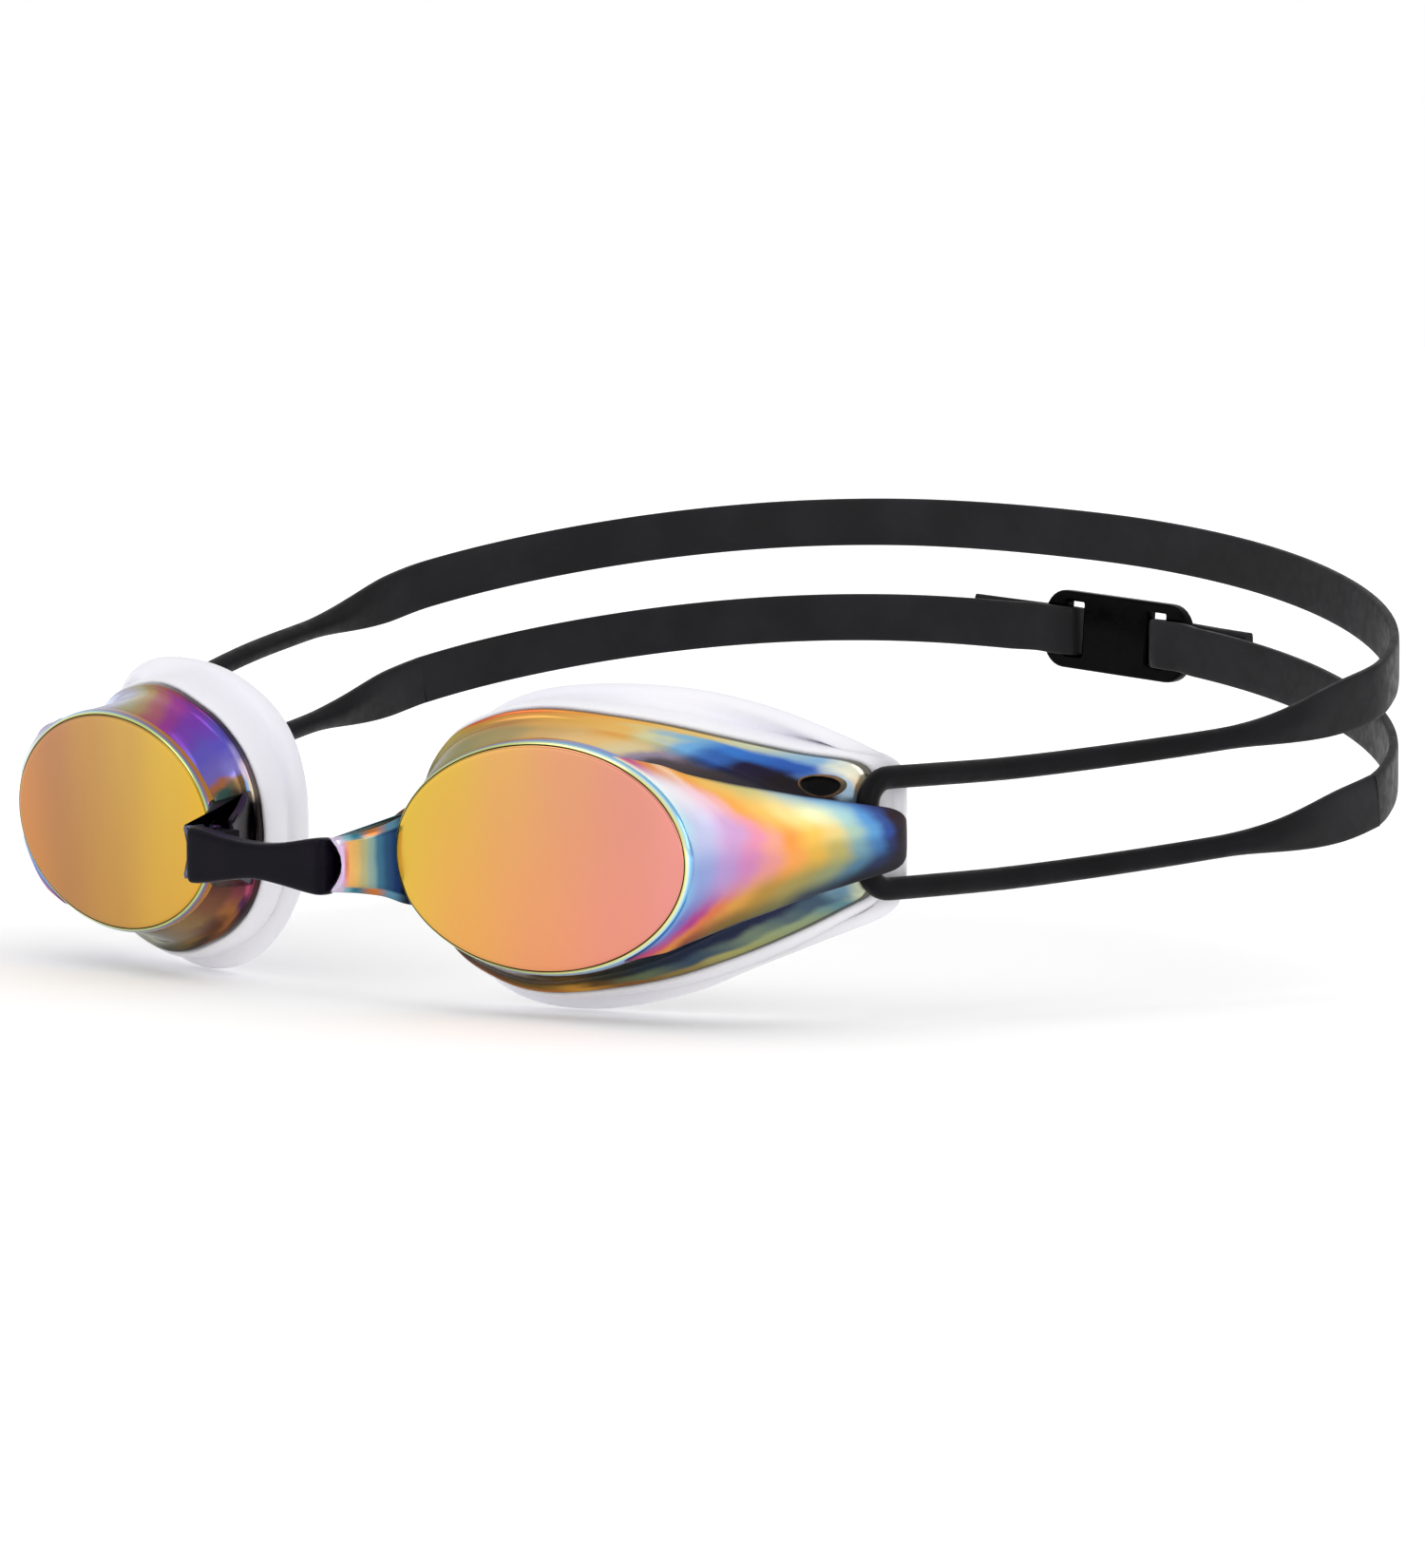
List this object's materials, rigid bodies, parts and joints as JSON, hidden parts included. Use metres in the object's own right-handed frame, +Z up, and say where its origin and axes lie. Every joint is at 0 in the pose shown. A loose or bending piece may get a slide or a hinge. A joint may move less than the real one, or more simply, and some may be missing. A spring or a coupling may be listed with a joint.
{
  "type": "swim goggles",
  "caption": "Low-profile mirrored swim goggles with soft eye gaskets, a snap-in nose bridge and a split strap that runs through lens eyelets and closes at a back clip.",
  "frame": {"origin": "midway between the centres of the two lens faces, on the wearer's mid-plane", "axes": "+X to the wearer's left, +Y back towards the head, +Z up; the lenses look along -Y"},
  "size_m": [0.1511, 0.1394, 0.0513],
  "materials": {
    "mirrored_lens": "mirror-coated polycarbonate, gold to pink",
    "white_silicone": "satin white",
    "bridge_plastic": "satin black",
    "black_silicone_cord": "satin black",
    "black_silicone_band": "matt black",
    "clip_plastic": "gloss black"
  },
  "bodies": {
    "bridge": {"nose_bridge": "bridge_plastic"},
    "lens_left": {"lens_left": "mirrored_lens", "gasket_left": "white_silicone", "strap_loop_left": "black_silicone_cord"},
    "lens_right": {"lens_right": "mirrored_lens", "gasket_right": "white_silicone", "strap_loop_right": "black_silicone_cord"},
    "strap": {"strap_upper_band": "black_silicone_band", "strap_lower_left": "black_silicone_band", "strap_lower_right": "black_silicone_band", "cord_upper_left": "black_silicone_cord", "cord_lower_left": "black_silicone_cord", "cord_upper_right": "black_silicone_cord", "cord_lower_right": "black_silicone_cord", "strap_feed_left": "black_silicone_band", "strap_feed_right": "black_silicone_band"},
    "clip": {"strap_clip": "clip_plastic", "strap_end_left": "black_silicone_band", "strap_end_right": "black_silicone_band"}
  },
  "joints": [
    {"name": "lens_flex_left", "type": "hinge", "parent": "bridge", "child": "lens_left", "pos_m": [0.0109, -0.005, -0.0015], "axis": [0, 0, 1], "range_deg": [-3, 5], "deforming": ["cord_upper_left", "cord_lower_left"]},
    {"name": "lens_flex_right", "type": "hinge", "parent": "bridge", "child": "lens_right", "pos_m": [-0.0109, -0.005, -0.0015], "axis": [0, 0, -1], "range_deg": [-3, 5], "deforming": ["cord_upper_right", "cord_lower_right"]},
    {"name": "strap_tilt", "type": "hinge", "parent": "bridge", "child": "strap", "pos_m": [0, 0.038, 0.003], "axis": [1, 0, 0], "range_deg": [-15, 15], "deforming": ["cord_upper_left", "cord_lower_left", "cord_upper_right", "cord_lower_right"]},
    {"name": "clip_travel", "type": "hinge", "parent": "strap", "child": "clip", "pos_m": [0, -0.0185, -0.038], "axis": [0.043, -0.365, 0.93], "range_deg": [-4, 4], "deforming": ["strap_feed_left", "strap_feed_right"]}
  ]
}
